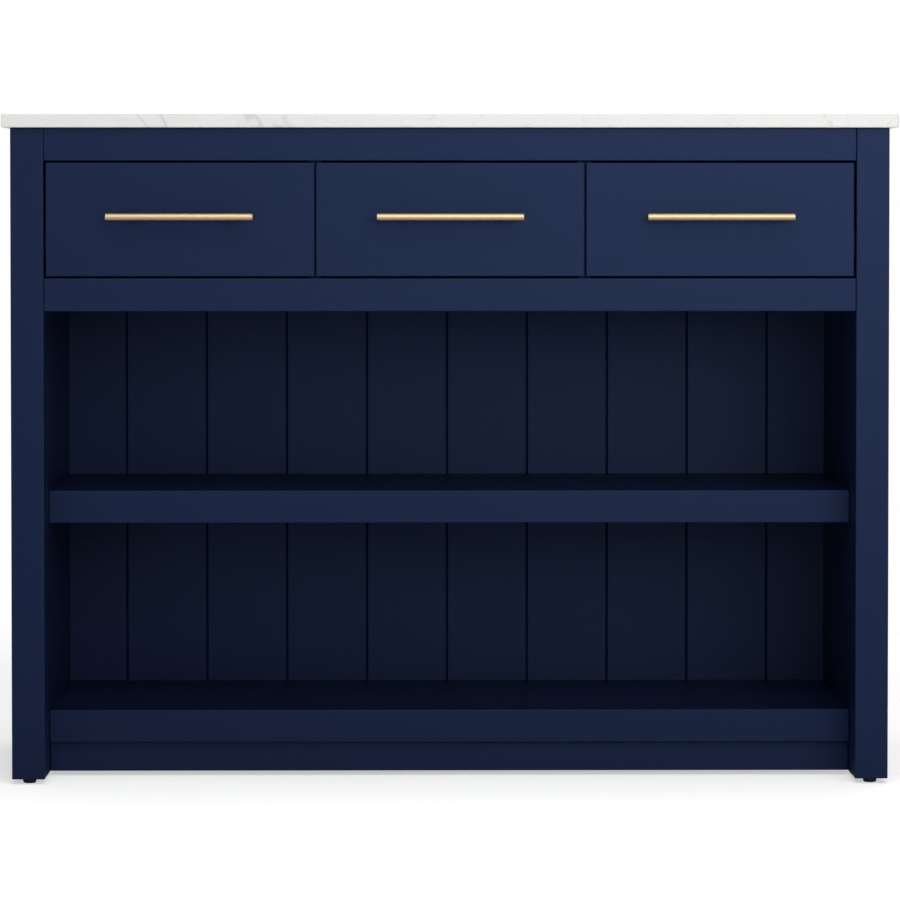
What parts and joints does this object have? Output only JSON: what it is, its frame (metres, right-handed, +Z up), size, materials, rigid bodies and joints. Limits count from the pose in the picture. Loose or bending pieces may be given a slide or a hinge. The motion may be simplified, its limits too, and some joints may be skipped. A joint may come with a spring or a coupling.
{
  "type": "kitchen island",
  "caption": "Stationary kitchen island: white veined stone top, navy lacquered body, inset drawers with brass bar pulls, open shelves with thick nosings, V-groove back and levelling feet.",
  "frame": {"origin": "on the floor, at the middle of the overall box, which runs from the bar pulls in front to the worktop's rear edge", "axes": "+Z up, -Y towards the front where the drawers open, +X to the right of someone standing in front"},
  "size_m": [1.219, 0.582, 0.9144],
  "materials": {
    "white_stone": "polished white with fine grey veins",
    "navy_lacquer": "satin navy lacquer on wood board",
    "birch": "clear matt lacquer on pale birch",
    "brushed_brass": "brushed, champagne gold",
    "zinc_steel": "zinc plated, rolled sheet",
    "black_nylon": "moulded, slightly worn"
  },
  "bodies": {
    "cabinet": {"worktop": "white_stone", "front_left_post": "navy_lacquer", "front_right_post": "navy_lacquer", "rear_left_post": "navy_lacquer", "rear_right_post": "navy_lacquer", "left_wall_lining": "navy_lacquer", "left_side_panel": "navy_lacquer", "right_wall_lining": "navy_lacquer", "right_side_panel": "navy_lacquer", "back_panel": "navy_lacquer", "rear_panel": "navy_lacquer", "rear_top_rail": "navy_lacquer", "rear_bottom_rail": "navy_lacquer", "top_rail": "navy_lacquer", "drawer_rail": "navy_lacquer", "middle_shelf": "navy_lacquer", "middle_shelf_nosing": "navy_lacquer", "bottom_shelf": "navy_lacquer", "bottom_shelf_nosing": "navy_lacquer", "toe_kick": "navy_lacquer", "dust_panel": "navy_lacquer", "left_drawer_divider": "navy_lacquer", "right_drawer_divider": "navy_lacquer", "left_cabinet_slide_left": "zinc_steel", "left_cabinet_slide_right": "zinc_steel", "middle_cabinet_slide_left": "zinc_steel", "middle_cabinet_slide_right": "zinc_steel", "right_cabinet_slide_left": "zinc_steel", "right_cabinet_slide_right": "zinc_steel"},
    "left_drawer": {"left_drawer_front": "navy_lacquer", "left_drawer_inner_front": "birch", "left_drawer_side_left": "birch", "left_drawer_side_right": "birch", "left_drawer_back": "birch", "left_drawer_bottom": "birch", "left_drawer_pull": "brushed_brass", "left_drawer_slide_left": "zinc_steel", "left_drawer_slide_right": "zinc_steel"},
    "middle_drawer": {"middle_drawer_front": "navy_lacquer", "middle_drawer_inner_front": "birch", "middle_drawer_side_left": "birch", "middle_drawer_side_right": "birch", "middle_drawer_back": "birch", "middle_drawer_bottom": "birch", "middle_drawer_pull": "brushed_brass", "middle_drawer_slide_left": "zinc_steel", "middle_drawer_slide_right": "zinc_steel"},
    "right_drawer": {"right_drawer_front": "navy_lacquer", "right_drawer_inner_front": "birch", "right_drawer_side_left": "birch", "right_drawer_side_right": "birch", "right_drawer_back": "birch", "right_drawer_bottom": "birch", "right_drawer_pull": "brushed_brass", "right_drawer_slide_left": "zinc_steel", "right_drawer_slide_right": "zinc_steel"},
    "front_left_leveller": {"front_left_foot": "black_nylon"},
    "front_right_leveller": {"front_right_foot": "black_nylon"},
    "rear_left_leveller": {"rear_left_foot": "black_nylon"},
    "rear_right_leveller": {"rear_right_foot": "black_nylon"}
  },
  "joints": [
    {"name": "left_drawer_travel", "type": "slide", "parent": "cabinet", "child": "left_drawer", "axis": [0, -1, 0], "range_m": [0, 0.33]},
    {"name": "middle_drawer_travel", "type": "slide", "parent": "cabinet", "child": "middle_drawer", "axis": [0, -1, 0], "range_m": [0, 0.33]},
    {"name": "right_drawer_travel", "type": "slide", "parent": "cabinet", "child": "right_drawer", "axis": [0, -1, 0], "range_m": [0, 0.33]},
    {"name": "front_left_foot_turn", "type": "hinge", "parent": "cabinet", "child": "front_left_leveller", "pos_m": [-0.576, -0.2335, 0], "axis": [0, 0, 1], "continuous": true},
    {"name": "front_right_foot_turn", "type": "hinge", "parent": "cabinet", "child": "front_right_leveller", "pos_m": [0.576, -0.2335, 0], "axis": [0, 0, 1], "continuous": true},
    {"name": "rear_left_foot_turn", "type": "hinge", "parent": "cabinet", "child": "rear_left_leveller", "pos_m": [-0.576, 0.2565, 0], "axis": [0, 0, 1], "continuous": true},
    {"name": "rear_right_foot_turn", "type": "hinge", "parent": "cabinet", "child": "rear_right_leveller", "pos_m": [0.576, 0.2565, 0], "axis": [0, 0, 1], "continuous": true}
  ]
}
